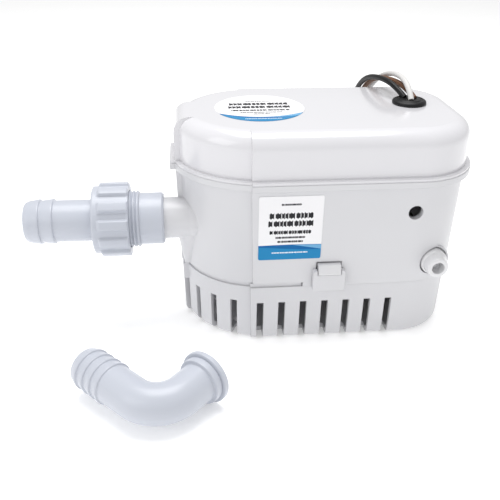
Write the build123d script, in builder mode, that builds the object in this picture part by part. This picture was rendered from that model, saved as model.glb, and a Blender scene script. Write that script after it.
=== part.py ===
from build123d import *
import os
from math import acos, atan2, cos, degrees, pi, radians, sin, sqrt, tan

os.makedirs("parts", exist_ok=True)

# ---------------------------------------------------------------------------
# Driving dimensions, in millimetres.
# The origin is on the motor's shaft, on the plane that the strainer stands on.
# +X runs towards the float chamber, -X out of the hose tail, +Z is up.
# ---------------------------------------------------------------------------
ROUND_R = 40.0          # radius of the flange round the motor
HALF_WIDTH = 41.0       # half width of the flange along its straight sides
CREASE_X = -6.9         # where the straight sides step out of the round end
END_X = 93.3            # right-hand end of the flange
CORNER_R = 29.0         # corner radius of the flange at the float end
PAD_HALF = 12.0         # half width of the flat pad at the outlet end
PAD_PROUD = 0.4         # how far the pad stands out of the round end
DRAFT = 1.36            # mould draft of the outer walls, degrees

JOINT_Z = 28.4          # top of the strainer's ledge
BODY_LOW = 28.5         # lower edge of the body housing
GROOVE_TOP = 30.6       # upper edge of the dark groove round the motor end
GROOVE_END_X = 16.5
FLANGE_LOW = 75.9
FLANGE_TOP = 78.6
LEDGE_LOW = 78.95
LEDGE_TOP = 79.85
LID_TOP = 99.2

BODY_INSET = 2.5        # body wall inside the flange's edge, at the flange
LID_INSET = 2.2
BASE_INSET = 4.0        # strainer wall inside the flange's edge, at the ledge
WALL = 2.4
LID_WALL = 2.2
LID_EDGE_R = 7.0
BASE_EDGE_R = 3.5
FIT = 0.3               # clearance between loose mouldings

SLOT_W = 3.1
SLOT_TOP = 20.2
SLOT_PITCH = 9.84
SLOT_X0 = -2.3          # first of the straight slots on each side
SLOT_COUNT = 7
ROUND_SLOT_0 = 23.2     # first slot round the end, degrees from straight across
ROUND_SLOT_COUNT = 9

OUTLET_Y = -13.3
OUTLET_Z = 53.2
TAIL_R = 9.3            # tail for hose of 19 mm bore
RISER_X = -20.9
RISER_BORE_R = 5.5

MOTOR_R = 16.0
MOTOR_LOW = 36.6
MOTOR_TOP = 80.0
CHAMBER_R = 16.4        # bore of the motor's chamber
SHAFT_R = 1.6
RUNNING = 0.05          # radial running clearance

PIVOT_X = 75.8          # float shaft, across the float chamber
PIVOT_Z = 38.0
PIVOT_R = 2.2
KNOB_SEAT_R = 6.6

LATCH_X = 27.65
GROMMET_X = 69.0
GROMMET_Y = 3.0
GROMMET_R = 7.7
GROMMET_TOP = LID_TOP + 2.2
WIRE_R = 1.3


def finish_piece(piece, name):
    """Label a finished piece and write its STEP file."""
    piece.part.label = name
    export_step(piece.part, f"parts/{name}.step")


def body_inset(z):
    """Inset of the drafted body wall at a height."""
    return BODY_INSET + (FLANGE_LOW - z) * tan(radians(DRAFT))


def plan(inset, with_pad=True):
    """Draw the pump's plan, a given distance inside the flange's edge, in the current sketch."""
    Circle(ROUND_R - inset)
    length = END_X - inset - CREASE_X
    with BuildSketch(mode=Mode.PRIVATE) as tank:
        with Locations((CREASE_X + length / 2, 0)):
            Rectangle(length, 2 * (HALF_WIDTH - inset))
        fillet(tank.vertices().sort_by(Axis.X)[-2:], CORNER_R - inset)
    add(tank.sketch)
    if with_pad:
        reach = ROUND_R - inset + PAD_PROUD
        with Locations((-reach / 2, 0)):
            Rectangle(reach, 2 * PAD_HALF)


def solid_blank(inset, low, high, draft=0, top_r=0, bottom_r=0):
    """A solid block on the pump's plan: its round end, its tank and its pad, as three solids.

    The inset is the one at the top. The walls lean in by the draft towards the bottom, and each
    solid's top or bottom edge is rounded by itself.
    """
    pieces = []
    for which in ("drum", "tank", "pad"):
        with BuildPart() as block:
            with BuildSketch(Plane.XY.offset(high)) as shape:
                if which == "drum":
                    Circle(ROUND_R - inset)
                elif which == "tank":
                    length = END_X - inset - CREASE_X
                    with Locations((CREASE_X + length / 2, 0)):
                        Rectangle(length, 2 * (HALF_WIDTH - inset))
                    fillet(shape.vertices().sort_by(Axis.X)[-2:], CORNER_R - inset)
                else:
                    reach = ROUND_R - inset + PAD_PROUD
                    with Locations((-reach / 2, 0)):
                        Rectangle(reach, 2 * PAD_HALF)
            extrude(amount=low - high, taper=draft)
            for edge_r, level in ((top_r, -1), (bottom_r, 0)):
                edges = block.faces().sort_by(Axis.Z)[level].edges()
                if which == "tank":
                    edges = edges.sort_by(Axis.X)[1:]
                if which == "pad":
                    edges = edges.sort_by(Axis.X)[:1]
                if edge_r:
                    fillet(edges, edge_r)
        pieces.append(block.part)
    return pieces


# ---------------------------------------------------------------------------
# Strainer base: the slotted tub that is screwed to the bilge
# ---------------------------------------------------------------------------
SPIGOT_TOP = 33.0
SPIGOT_INSET = body_inset(BODY_LOW) + WALL + FIT
SPIGOT_WALL = 1.6
RIM_DEPTH = 1.1         # the rim round the motor end, behind the body's face
RIM_GAP = 0.35
SLOT_DEPTH = 8.0
BASE_FLOOR = 2.4
BASE_WALL = 2.0
SCREW_X = (-11.0, 65.0)
SCREW_Y = 22.0
SCREW_HOLE_R = 2.25
POCKET_W = 14.5
POCKET_LOW = 27.4
POCKET_TOP = 37.7
POCKET_CORNER_R = 1.4
NOTCH_LOW = 35.6
POCKET_FACE = HALF_WIDTH - 0.4          # outer face of the latch pocket
TONGUE_W = 10.1

base_blank = solid_blank(BASE_INSET, 0, JOINT_Z, draft=DRAFT, bottom_r=BASE_EDGE_R)
with BuildPart() as strainer_base:
    for block in base_blank:
        add(block)
    # the spigot that the body slips over
    with BuildSketch(Plane.XY.offset(JOINT_Z - 2)):
        plan(SPIGOT_INSET, with_pad=False)
    extrude(amount=SPIGOT_TOP - JOINT_Z + 2)
    # the rim that shows in the groove round the motor end
    with BuildSketch(Plane.XY.offset(JOINT_Z - 2)):
        plan(body_inset(GROOVE_TOP) + RIM_DEPTH)
        with Locations((END_X + GROOVE_END_X - FIT, 0)):
            Rectangle(2 * END_X, 2 * END_X, mode=Mode.SUBTRACT)
    extrude(amount=GROOVE_TOP - RIM_GAP - JOINT_Z + 2)
    # the room inside, wide below the spigot
    with BuildSketch(Plane.XY.offset(JOINT_Z - 3)):
        plan(SPIGOT_INSET + SPIGOT_WALL, with_pad=False)
    extrude(amount=SPIGOT_TOP - JOINT_Z + 4, mode=Mode.SUBTRACT)
    with BuildSketch(Plane.XY.offset(BASE_EDGE_R)):
        plan(BASE_INSET + BASE_WALL + 0.5, with_pad=False)
    extrude(amount=JOINT_Z - 3 - BASE_EDGE_R, mode=Mode.SUBTRACT)
    with BuildSketch(Plane.XY.offset(BASE_FLOOR)):
        plan(BASE_INSET + BASE_EDGE_R, with_pad=False)
    extrude(amount=BASE_EDGE_R, mode=Mode.SUBTRACT)
    # gap in the spigot for the seat of the test knob
    with BuildSketch(Plane.XY.offset(JOINT_Z + 0.3)):
        with Locations((PIVOT_X, -HALF_WIDTH)):
            Rectangle(2 * KNOB_SEAT_R + 5, 30)
    extrude(amount=SPIGOT_TOP, mode=Mode.SUBTRACT)
    # straight slots, cut through the rounded lower edge
    slot_x = [SLOT_X0 + SLOT_PITCH * i for i in range(SLOT_COUNT)]
    for side in (-1, 1):
        face_y = side * (HALF_WIDTH - BASE_INSET)
        with BuildSketch(Plane.XZ.offset(-face_y - SLOT_DEPTH)):
            for x in slot_x:
                with Locations((x, SLOT_TOP / 2 - 1)):
                    Rectangle(SLOT_W, SLOT_TOP + 2)
        extrude(amount=2 * SLOT_DEPTH, mode=Mode.SUBTRACT)
    # slots round the motor end and across the float end
    for i in range(ROUND_SLOT_COUNT):
        step = (90 - ROUND_SLOT_0) / ((ROUND_SLOT_COUNT - 1) / 2)
        turn = -90 - ROUND_SLOT_0 - step * i
        with BuildSketch(Plane.XY.rotated((0, 0, turn)).offset(-1)):
            with Locations((ROUND_R - BASE_INSET, 0)):
                Rectangle(2 * SLOT_DEPTH, SLOT_W)
        extrude(amount=SLOT_TOP + 1, mode=Mode.SUBTRACT)
    for i in (-1, 0, 1):
        with BuildSketch(Plane.XY.offset(-1)):
            with Locations((END_X - BASE_INSET, i * SLOT_PITCH)):
                Rectangle(2 * SLOT_DEPTH, SLOT_W)
        extrude(amount=SLOT_TOP + 1, mode=Mode.SUBTRACT)
    # holes for the mounting screws
    with BuildSketch(Plane.XY.offset(-1)):
        for x in SCREW_X:
            with Locations((x, SCREW_Y), (x, -SCREW_Y)):
                Circle(SCREW_HOLE_R)
    extrude(amount=BASE_FLOOR + 2, mode=Mode.SUBTRACT)
    # latch pockets, open at the top
    for side in (-1, 1):
        inner_y = HALF_WIDTH - body_inset(POCKET_TOP) + FIT
        with BuildSketch(Plane.XZ.offset(-side * inner_y)):
            with Locations((LATCH_X, (POCKET_LOW + POCKET_TOP) / 2)):
                RectangleRounded(POCKET_W, POCKET_TOP - POCKET_LOW, POCKET_CORNER_R)
        extrude(amount=-side * (POCKET_FACE - inner_y))
        with BuildSketch(Plane.XY.offset(POCKET_LOW)):
            with Locations((LATCH_X, side * (POCKET_FACE - 1.5 + HALF_WIDTH - BASE_INSET - 1) / 2)):
                Rectangle(POCKET_W - 2 * POCKET_CORNER_R, POCKET_FACE - 1.5 - HALF_WIDTH + BASE_INSET + 1)
        extrude(amount=JOINT_Z - POCKET_LOW)
        with BuildSketch(Plane.XY.offset(JOINT_Z + 0.6)):
            with Locations((LATCH_X, side * (POCKET_FACE - 0.9 + inner_y - 1) / 2)):
                Rectangle(TONGUE_W + 0.6, POCKET_FACE - 0.9 - inner_y + 1)
        extrude(amount=POCKET_TOP, mode=Mode.SUBTRACT)
        with BuildSketch(Plane.XY.offset(NOTCH_LOW)):
            with Locations((LATCH_X, side * POCKET_FACE)):
                Rectangle(TONGUE_W + 0.6, 3)
        extrude(amount=POCKET_TOP, mode=Mode.SUBTRACT)
finish_piece(strainer_base, "strainer_base")

# ---------------------------------------------------------------------------
# Latch tongues: sprung tabs in the pockets, pressed in to free the body
# ---------------------------------------------------------------------------
TONGUE_THICK = 1.2
TONGUE_ROOT_Z = 29.7
TONGUE_TOP = 40.3
TONGUE_FACE = POCKET_FACE - 1.2
HEAD_LOW = 35.9
HEAD_FACE = POCKET_FACE + 0.5
HOOK_FACE = TONGUE_FACE - 2.0

for name, side in (("latch_front", -1), ("latch_back", 1)):
    with BuildPart() as latch:
        back = TONGUE_FACE - TONGUE_THICK
        outline = [
            (back, TONGUE_ROOT_Z), (TONGUE_FACE, TONGUE_ROOT_Z), (TONGUE_FACE, HEAD_LOW), (HEAD_FACE - 0.1, HEAD_LOW),
            (HEAD_FACE, HEAD_LOW + 0.6), (TONGUE_FACE + 0.3, TONGUE_TOP - 0.3), (TONGUE_FACE, TONGUE_TOP),
            (HOOK_FACE, TONGUE_TOP), (HOOK_FACE, TONGUE_TOP - 1.1), (back, TONGUE_TOP - 1.9),
        ]
        with BuildSketch(Plane.YZ.offset(LATCH_X - TONGUE_W / 2)):
            with BuildLine():
                Polyline(*[(side * y, z) for y, z in outline], close=True)
            make_face()
            with Locations((side * (back + TONGUE_THICK / 2), TONGUE_ROOT_Z)):
                Circle(TONGUE_THICK / 2)
        extrude(amount=TONGUE_W)
    finish_piece(latch, name)

# ---------------------------------------------------------------------------
# Body housing: outer wall, flange, motor chamber, riser, outlet stub and float chamber
# ---------------------------------------------------------------------------
FLOOR_LOW, FLOOR_TOP = 34.0, 36.5
PARTITION_X = 22.5
ROOF_LOW, ROOF_TOP = 73.0, 75.5
CHAMBER_WALL = 2.0
SEAL_R = 5.0
STUB_END = -50.8
FAIRING_X = -30.0
VENT_X, VENT_Z, VENT_R = 63.7, 63.5, 3.2
BEARING_RIB_Y = 25.0
BOARD_POSTS = ((36, -15), (36, 15), (62, -15), (62, 15))
BOARD_Z = 82.0
SCREW_R = 1.5
volute_screw_spots = [(27.7 * cos(radians(a)), 27.7 * sin(radians(a))) for a in (60, 130, 300)]

housing_blank = solid_blank(BODY_INSET, BODY_LOW, FLANGE_LOW, draft=DRAFT)
with BuildPart() as body_housing:
    for block in housing_blank:
        add(block)
    with BuildSketch(Plane.XY.offset(FLANGE_LOW)):
        plan(0)
    extrude(amount=FLANGE_TOP - FLANGE_LOW)
    # fairing where the riser turns out to the stub: a rounded shoulder that tapers down to the groove
    with Locations((FAIRING_X, OUTLET_Y, OUTLET_Z)):
        Sphere(TAIL_R + 0.3)
    with BuildSketch(Plane.XY.offset(OUTLET_Z)):
        with Locations((FAIRING_X, OUTLET_Y)):
            Circle(TAIL_R + 0.2)
    with BuildSketch(Plane.XY.offset(GROOVE_TOP)):
        with Locations((FAIRING_X - 3.4, OUTLET_Y)):
            Circle(2.2)
    loft()
    # latch recesses, open at the lower edge
    for side in (-1, 1):
        with BuildSketch(Plane.XY.offset(BODY_LOW)):
            with Locations((LATCH_X, side * HALF_WIDTH)):
                Rectangle(TONGUE_W + 1.2, 2 * (body_inset(BODY_LOW) + 1.2))
        extrude(amount=TONGUE_TOP + 0.6 - BODY_LOW, mode=Mode.SUBTRACT)
    # skirt room round the spigot, and the two chambers above it
    with BuildSketch(Plane.XY.offset(BODY_LOW)):
        plan(body_inset(BODY_LOW) + WALL, with_pad=False)
    extrude(amount=FLOOR_LOW - BODY_LOW, mode=Mode.SUBTRACT)
    inner = body_inset(BODY_LOW) + WALL
    with BuildSketch(Plane.XY.offset(FLOOR_LOW)):
        plan(inner, with_pad=False)
        with Locations((-END_X + PARTITION_X + 2, 0)):
            Rectangle(2 * END_X, 2 * END_X, mode=Mode.SUBTRACT)
    extrude(amount=ROOF_LOW - FLOOR_LOW, mode=Mode.SUBTRACT)
    with BuildSketch(Plane.XY.offset(ROOF_TOP)):
        plan(inner - 1, with_pad=False)
        with Locations((-END_X + PARTITION_X + 2, 0)):
            Rectangle(2 * END_X, 2 * END_X, mode=Mode.SUBTRACT)
    extrude(amount=FLANGE_TOP - ROOF_TOP, mode=Mode.SUBTRACT)
    with BuildSketch(Plane.XY.offset(FLOOR_TOP)):
        plan(inner, with_pad=False)
        with Locations((END_X + PARTITION_X, 0)):
            Rectangle(2 * END_X, 2 * END_X, mode=Mode.SUBTRACT)
        Circle(CHAMBER_R + CHAMBER_WALL, mode=Mode.SUBTRACT)
        with Locations((RISER_X, OUTLET_Y)):
            Circle(RISER_BORE_R + 1.6, mode=Mode.SUBTRACT)
    extrude(amount=FLANGE_TOP - FLOOR_TOP, mode=Mode.SUBTRACT)
    # outlet stub and its boss inside
    with BuildSketch(Plane.YZ.offset(STUB_END)):
        with Locations((OUTLET_Y, OUTLET_Z)):
            Circle(TAIL_R)
    extrude(amount=RISER_X - STUB_END)
    with BuildSketch(Plane.XY.offset(OUTLET_Z + TAIL_R - 1)):
        with Locations((RISER_X, OUTLET_Y)):
            Circle(RISER_BORE_R + 1.6)
    extrude(amount=FLOOR_LOW - OUTLET_Z - TAIL_R + 1)
    with BuildSketch(Plane.XY.offset(OUTLET_Z + RISER_BORE_R - 1)):
        with Locations((RISER_X, OUTLET_Y)):
            Circle(RISER_BORE_R)
    extrude(amount=FLOOR_LOW - OUTLET_Z - RISER_BORE_R, mode=Mode.SUBTRACT)
    with BuildSketch(Plane.YZ.offset(STUB_END - 1)):
        with Locations((OUTLET_Y, OUTLET_Z)):
            Circle(RISER_BORE_R + 1)
    extrude(amount=RISER_X - STUB_END + 1, mode=Mode.SUBTRACT)
    # bosses for the screws of the volute casing
    with BuildSketch(Plane.XY.offset(FLOOR_TOP - 0.5)):
        with Locations(*volute_screw_spots):
            Circle(3.4)
    extrude(amount=6)
    with BuildSketch(Plane.XY.offset(FLOOR_LOW)):
        with Locations(*volute_screw_spots):
            Circle(SCREW_R - 0.2)
    extrude(amount=7, mode=Mode.SUBTRACT)
    # motor chamber, and the bore for the shaft seal in its floor
    with BuildSketch(Plane.XY.offset(FLOOR_TOP)):
        Circle(CHAMBER_R)
    extrude(amount=FLANGE_TOP - FLOOR_TOP, mode=Mode.SUBTRACT)
    with BuildSketch(Plane.XY.offset(FLOOR_LOW)):
        Circle(SEAL_R)
    extrude(amount=FLOOR_TOP - FLOOR_LOW, mode=Mode.SUBTRACT)
    # bearing rib for the far end of the float shaft
    with BuildSketch(Plane.XZ.offset(-BEARING_RIB_Y - 3)):
        with Locations((PIVOT_X, (PIVOT_Z - 5 + ROOF_LOW + 0.5) / 2)):
            Rectangle(10, ROOF_LOW + 0.5 - PIVOT_Z + 5)
    extrude(amount=3)
    # seat for the test knob, let into the rounded corner
    with BuildSketch(Plane.XZ.offset(28)):
        with Locations((PIVOT_X, PIVOT_Z)):
            Circle(KNOB_SEAT_R + 0.8)
    extrude(amount=6.4)
    with BuildSketch(Plane.XZ.offset(32.6)):
        with Locations((PIVOT_X, PIVOT_Z)):
            Circle(KNOB_SEAT_R)
    extrude(amount=12, mode=Mode.SUBTRACT)
    with BuildSketch(Plane.XZ.offset(-BEARING_RIB_Y - 4)):
        with Locations((PIVOT_X, PIVOT_Z)):
            Circle(PIVOT_R + RUNNING)
    extrude(amount=70, mode=Mode.SUBTRACT)
    # air vent of the float chamber
    with BuildSketch(Plane.XZ.offset(25)):
        with Locations((VENT_X, VENT_Z)):
            Circle(VENT_R)
    extrude(amount=20, mode=Mode.SUBTRACT)
    # posts under the switch board
    with BuildSketch(Plane.XY.offset(ROOF_TOP - 0.5)):
        with Locations(*BOARD_POSTS):
            Circle(2.5)
    extrude(amount=BOARD_Z - ROOF_TOP + 0.5)
    # groove round the motor end
    with BuildSketch(Plane.XY.offset(BODY_LOW - 1)):
        with Locations((GROOVE_END_X - END_X, 0)):
            Rectangle(2 * END_X, 2 * END_X)
    extrude(amount=GROOVE_TOP - BODY_LOW + 1, mode=Mode.SUBTRACT)
finish_piece(body_housing, "body_housing")

# ---------------------------------------------------------------------------
# Top cover and the seal under it
# ---------------------------------------------------------------------------
cover_blank = solid_blank(LID_INSET, LEDGE_LOW, LID_TOP, top_r=LID_EDGE_R)
with BuildPart() as top_cover:
    for block in cover_blank:
        add(block)
    with BuildSketch(Plane.XY.offset(LEDGE_LOW)):
        plan(0.25)
    extrude(amount=LEDGE_TOP - LEDGE_LOW)
    # lip that closes the joint outside the seal
    with BuildSketch(Plane.XY.offset(FLANGE_TOP)):
        plan(0.25)
        with BuildSketch(mode=Mode.PRIVATE) as seal_room:
            plan(0.95)
        add(seal_room.sketch, mode=Mode.SUBTRACT)
    extrude(amount=LEDGE_LOW - FLANGE_TOP)
    with BuildSketch(Plane.XY.offset(LEDGE_LOW)):
        plan(LID_INSET + LID_WALL, with_pad=False)
    extrude(amount=LID_TOP - LID_EDGE_R - LEDGE_LOW, mode=Mode.SUBTRACT)
    with BuildSketch(Plane.XY.offset(LID_TOP - LID_EDGE_R - 1)):
        plan(LID_INSET + LID_EDGE_R + 0.5, with_pad=False)
    extrude(amount=LID_EDGE_R + 1 - LID_WALL, mode=Mode.SUBTRACT)
    with BuildSketch(Plane.XY.offset(LID_TOP - 4)):
        with Locations((GROMMET_X, GROMMET_Y)):
            Circle(GROMMET_R - 2)
    extrude(amount=5, mode=Mode.SUBTRACT)
finish_piece(top_cover, "top_cover")

with BuildPart() as cover_gasket:
    with BuildSketch(Plane.XY.offset(FLANGE_TOP)):
        plan(1.1)
        plan_hole = inner - 1.2
        with BuildSketch(mode=Mode.PRIVATE) as hole:
            plan(plan_hole, with_pad=False)
        add(hole.sketch, mode=Mode.SUBTRACT)
    extrude(amount=LEDGE_LOW - FLANGE_TOP)
finish_piece(cover_gasket, "cover_gasket")

# ---------------------------------------------------------------------------
# Cable grommet in the top cover
# ---------------------------------------------------------------------------
with BuildPart() as cable_grommet:
    with BuildSketch(Plane.XY.offset(LID_TOP)):
        with Locations((GROMMET_X, GROMMET_Y)):
            Circle(GROMMET_R)
    extrude(amount=GROMMET_TOP - LID_TOP)
    fillet(cable_grommet.edges().sort_by(Axis.Z)[-1], 1.2)
    with BuildSketch(Plane.XY.offset(LID_TOP)):
        with Locations((GROMMET_X, GROMMET_Y)):
            Circle(GROMMET_R - 2)
    extrude(amount=-LID_WALL)
    with BuildSketch(Plane.XY.offset(LID_TOP - LID_WALL)):
        with Locations((GROMMET_X, GROMMET_Y)):
            Circle(GROMMET_R - 0.8)
    extrude(amount=-1.4)
finish_piece(cable_grommet, "cable_grommet")

# ---------------------------------------------------------------------------
# Motor: the can, end bell, magnets, brushes and bearings stand still
# ---------------------------------------------------------------------------
CAN_WALL = 1.2
BELL_THICK = 2.4
BELL_TOP = 85.6
BEARING_R = 5.0
BEARING_LENGTH = 4.0
MAGNET_OUT = MOTOR_R - CAN_WALL
MAGNET_IN = 11.9
CORE_R = 11.3
CORE_LOW, CORE_TOP = 47.0, 69.0
POLES = 5
COMMUTATOR_R = 4.0
COMMUTATOR_LOW, COMMUTATOR_TOP = 74.5, 79.8
TERMINAL_X = 11.0


def ring(outer, bore, low, high):
    """A plain ring about the shaft's axis, added to the current part."""
    with BuildSketch(Plane.XY.offset(low)) as section:
        Circle(outer)
        Circle(bore, mode=Mode.SUBTRACT)
    extrude(section.sketch, amount=high - low)


with BuildPart() as motor_can:
    ring(MOTOR_R, MOTOR_R - CAN_WALL, MOTOR_LOW, MOTOR_TOP)
    ring(MOTOR_R - CAN_WALL / 2, BEARING_R, MOTOR_LOW, MOTOR_LOW + CAN_WALL)
    ring(BEARING_R + 1.2, BEARING_R, MOTOR_LOW, MOTOR_LOW + BEARING_LENGTH)
finish_piece(motor_can, "motor_can")

with BuildPart() as motor_end_bell:
    ring(MOTOR_R, BEARING_R, MOTOR_TOP, MOTOR_TOP + BELL_THICK)
    ring(BEARING_R + 1.4, BEARING_R, MOTOR_TOP, BELL_TOP)
    with BuildSketch(Plane.XY.offset(MOTOR_TOP)):
        with Locations((TERMINAL_X, 0), (-TERMINAL_X, 0)):
            Rectangle(1, 3.5)
    extrude(amount=BELL_TOP - MOTOR_TOP)
finish_piece(motor_end_bell, "motor_end_bell")

with BuildPart() as motor_magnets:
    with BuildSketch(Plane.XY.offset(CORE_LOW - 1)):
        Circle(MAGNET_OUT)
        Circle(MAGNET_IN, mode=Mode.SUBTRACT)
        Rectangle(2 * MAGNET_OUT, 9, mode=Mode.SUBTRACT)
    extrude(amount=CORE_TOP - CORE_LOW + 2)
finish_piece(motor_magnets, "motor_magnets")

with BuildPart() as brushes:
    with BuildSketch(Plane.XY.offset(COMMUTATOR_LOW + 1)):
        for side in (-1, 1):
            with Locations((side * (COMMUTATOR_R + FIT + 2.5), 0)):
                Rectangle(5, 3)
    extrude(amount=3.5)
finish_piece(brushes, "brushes")

for name, low in (("bearing_lower", MOTOR_LOW), ("bearing_upper", BELL_TOP - BEARING_LENGTH)):
    with BuildPart() as bearing:
        ring(BEARING_R, SHAFT_R + RUNNING, low, low + BEARING_LENGTH)
    finish_piece(bearing, name)

with BuildPart() as shaft_seal:
    ring(SEAL_R, SHAFT_R + RUNNING, FLOOR_LOW, FLOOR_TOP)
finish_piece(shaft_seal, "shaft_seal")

# ---------------------------------------------------------------------------
# Rotor: shaft, armature, commutator and impeller turn together
# ---------------------------------------------------------------------------
SHAFT_LOW, SHAFT_TOP = 14.0, 86.2
IMPELLER_R = 20.0
VANE_LOW, VANE_TOP = 16.0, 27.0
VANES = 6
HUB_R = 4.0

with BuildPart() as motor_shaft:
    with BuildSketch(Plane.XY.offset(SHAFT_LOW)):
        Circle(SHAFT_R)
    extrude(amount=SHAFT_TOP - SHAFT_LOW)
finish_piece(motor_shaft, "motor_shaft")

with BuildPart() as armature_core:
    with BuildSketch(Plane.XY.offset(CORE_LOW)):
        Circle(CORE_R)
        Circle(SHAFT_R, mode=Mode.SUBTRACT)
        with PolarLocations(7.2, POLES):
            Rectangle(4.6, 4.2, mode=Mode.SUBTRACT)
        with PolarLocations(CORE_R, POLES):
            Rectangle(6, 1.4, mode=Mode.SUBTRACT)
    extrude(amount=CORE_TOP - CORE_LOW)
finish_piece(armature_core, "armature_core")

with BuildPart() as armature_windings:
    with BuildSketch(Plane.XY.offset(CORE_LOW - 2.5)):
        with PolarLocations(7.2, POLES):
            Rectangle(4.4, 4.0)
    extrude(amount=CORE_TOP - CORE_LOW + 5)
    ring(9.6, 4.6, CORE_LOW - 2.5, CORE_LOW)
    ring(9.6, 4.6, CORE_TOP, CORE_TOP + 3)
finish_piece(armature_windings, "armature_windings")

with BuildPart() as commutator:
    ring(COMMUTATOR_R, SHAFT_R, COMMUTATOR_LOW, COMMUTATOR_TOP)
    with BuildSketch(Plane.XY.offset(COMMUTATOR_LOW)):
        with PolarLocations(COMMUTATOR_R, POLES, start_angle=36):
            Rectangle(1.6, 0.5)
    extrude(amount=COMMUTATOR_TOP - COMMUTATOR_LOW, mode=Mode.SUBTRACT)
finish_piece(commutator, "commutator")

with BuildPart() as impeller:
    ring(IMPELLER_R, SHAFT_R, VANE_TOP, VANE_TOP + 2)
    ring(HUB_R, SHAFT_R, VANE_LOW, VANE_TOP + 4.5)
    with BuildSketch(Plane.XY.offset(VANE_LOW)):
        for i in range(VANES):
            turn = 360 / VANES * i
            with BuildLine(Plane.XY.rotated((0, 0, turn))) as vane_line:
                ThreePointArc((HUB_R - 1, 0), (11.5, 3.6), (IMPELLER_R - 1.2, 2))
            trace(vane_line.line, line_width=1.4)
    extrude(amount=VANE_TOP - VANE_LOW + 0.5)
finish_piece(impeller, "impeller")

with BuildPart() as impeller_clip:
    ring(3.2, SHAFT_R, VANE_LOW - 0.8, VANE_LOW)
    with BuildSketch(Plane.XY.offset(VANE_LOW - 1)):
        with Locations((2.5, 0)):
            Rectangle(3, 1.6)
    extrude(amount=1, mode=Mode.SUBTRACT)
finish_piece(impeller_clip, "impeller_clip")

# ---------------------------------------------------------------------------
# Volute casing under the floor, its three screws
# ---------------------------------------------------------------------------
VOLUTE_LOW = 13.0
VOLUTE_R = 22.4
VOLUTE_WALL = 2.0
INLET_R = 9.5

with BuildPart() as volute_casing:
    with BuildSketch(Plane.XY.offset(VOLUTE_LOW)):
        Circle(VOLUTE_R + VOLUTE_WALL)
        with Locations((RISER_X, OUTLET_Y)):
            Circle(RISER_BORE_R + 1.6)
    extrude(amount=FLOOR_LOW - VOLUTE_LOW)
    with BuildSketch(Plane.XY.offset(FLOOR_LOW - 6)):
        with Locations(*volute_screw_spots):
            Circle(3.4)
    extrude(amount=6)
    with BuildSketch(Plane.XY.offset(VOLUTE_LOW + 2)):
        Circle(VOLUTE_R)
        with Locations((RISER_X, OUTLET_Y)):
            Circle(RISER_BORE_R)
        with Locations((RISER_X / 2 - 6, OUTLET_Y)):
            Rectangle(12, 2 * RISER_BORE_R)
    extrude(amount=FLOOR_LOW - VOLUTE_LOW, mode=Mode.SUBTRACT)
    ring(INLET_R + 1.8, INLET_R, VOLUTE_LOW - 4, VOLUTE_LOW)
    with BuildSketch(Plane.XY.offset(VOLUTE_LOW - 5)):
        Circle(INLET_R)
    extrude(amount=8, mode=Mode.SUBTRACT)
    with BuildSketch(Plane.XY.offset(FLOOR_LOW - 7)):
        with Locations(*volute_screw_spots):
            Circle(SCREW_R + 0.1)
    extrude(amount=8, mode=Mode.SUBTRACT)
finish_piece(volute_casing, "volute_casing")

with BuildPart() as volute_screws:
    with BuildSketch(Plane.XY.offset(FLOOR_LOW - 8.2)):
        with Locations(*volute_screw_spots):
            Circle(2.8)
    extrude(amount=2.2)
    with BuildSketch(Plane.XY.offset(FLOOR_LOW - 6.5)):
        with Locations(*volute_screw_spots):
            Circle(SCREW_R)
    extrude(amount=13)
finish_piece(volute_screws, "volute_screws")

# ---------------------------------------------------------------------------
# Float, its shaft and magnet, and the test knob fixed on the shaft's end
# ---------------------------------------------------------------------------
FLOAT_X = (33.0, 67.0)
FLOAT_Y = (-18.0, 20.0)
FLOAT_Z = (24.0, 46.0)
FLOAT_HUB_R = 4.6
MAGNET_X = 38.0
KNOB_BASE_Y = -32.9
KNOB_TIP_Y = -42.6
SHAFT_FRONT_Y = -38.0

with BuildPart() as float_body:
    with BuildSketch(Plane.XY.offset(FLOAT_Z[0])):
        with Locations((sum(FLOAT_X) / 2, sum(FLOAT_Y) / 2)):
            Rectangle(FLOAT_X[1] - FLOAT_X[0], FLOAT_Y[1] - FLOAT_Y[0])
    extrude(amount=FLOAT_Z[1] - FLOAT_Z[0])
    fillet(float_body.edges(), 2.5)
    with BuildSketch(Plane.XZ.offset(-FLOAT_Y[1] + 2)):
        with Locations((PIVOT_X, PIVOT_Z)):
            Circle(FLOAT_HUB_R)
        with Locations(((FLOAT_X[1] + PIVOT_X) / 2 - 1, PIVOT_Z)):
            Rectangle(PIVOT_X - FLOAT_X[1] + 2, 4)
    extrude(amount=FLOAT_Y[1] - FLOAT_Y[0] - 4)
    with BuildSketch(Plane.XZ.offset(-FLOAT_Y[1] - 5)):
        with Locations((PIVOT_X, PIVOT_Z)):
            Circle(PIVOT_R)
    extrude(amount=60, mode=Mode.SUBTRACT)
    with BuildSketch(Plane.XY.offset(FLOAT_Z[1] - 4)):
        with Locations((MAGNET_X, 0)):
            Circle(3)
    extrude(amount=6, mode=Mode.SUBTRACT)
finish_piece(float_body, "float_block")

with BuildPart() as float_magnet:
    with BuildSketch(Plane.XY.offset(FLOAT_Z[1] - 4)):
        with Locations((MAGNET_X, 0)):
            Circle(3)
    extrude(amount=3.8)
finish_piece(float_magnet, "float_magnet")

with BuildPart() as float_shaft:
    with BuildSketch(Plane.XZ.offset(-BEARING_RIB_Y - 3)):
        with Locations((PIVOT_X, PIVOT_Z)):
            Circle(PIVOT_R)
    extrude(amount=BEARING_RIB_Y + 3 - SHAFT_FRONT_Y)
finish_piece(float_shaft, "float_shaft")

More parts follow.
